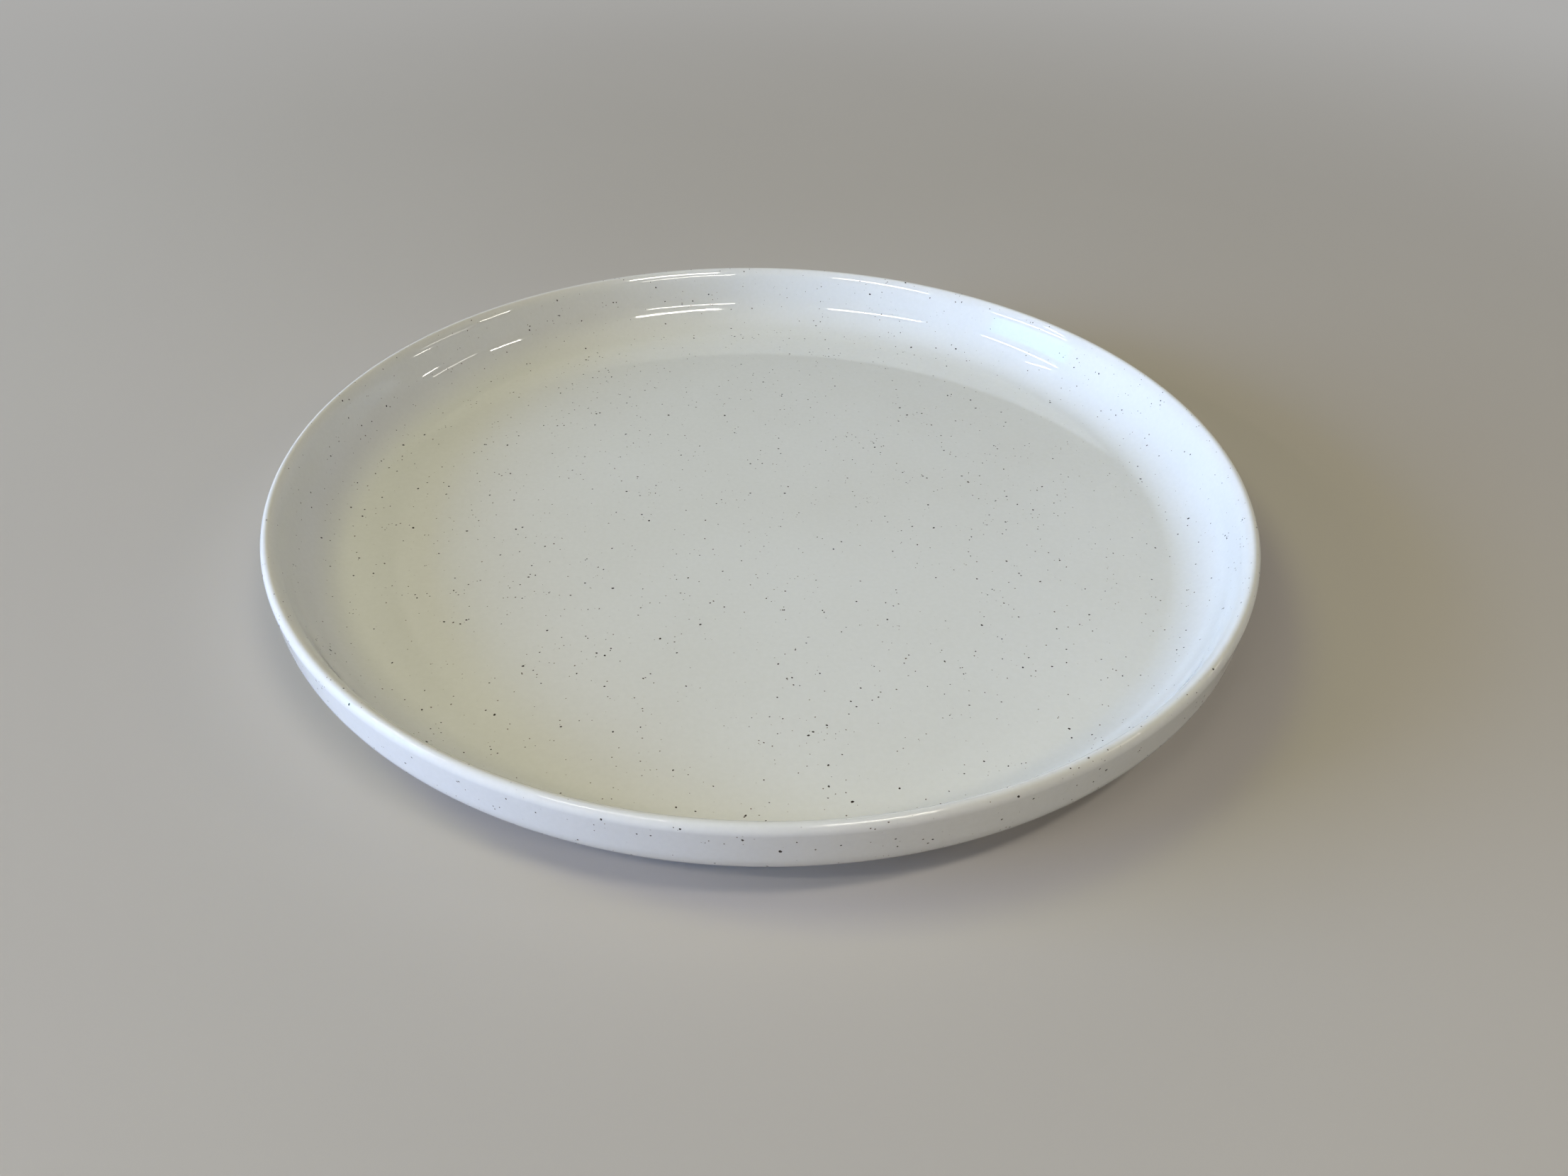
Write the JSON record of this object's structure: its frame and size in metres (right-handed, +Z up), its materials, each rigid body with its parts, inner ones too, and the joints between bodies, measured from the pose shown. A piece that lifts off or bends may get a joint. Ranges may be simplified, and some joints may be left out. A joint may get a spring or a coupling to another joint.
{
  "type": "coupe dinner plate",
  "caption": "Round coupe dinner plate in speckled white glazed stoneware, with a wide dished well, a short steep wall, a soft lip and an inset bare foot ring.",
  "frame": {"origin": "middle of the foot ring, on the table", "axes": "+Z up along the axis of the plate; X and Y are alike, because the plate is round"},
  "size_m": [0.275, 0.275, 0.028],
  "materials": {
    "stoneware": "bare biscuit-fired clay, matt and slightly sandy",
    "speckled_glaze": "high-gloss off-white glaze with fine dark iron specks",
    "base_glaze": "gloss off-white glaze, thinner, with fewer specks"
  },
  "bodies": {
    "root": {"stoneware_body": "stoneware", "upper_glaze": "speckled_glaze", "base_glaze": "base_glaze"}
  },
  "joints": []
}
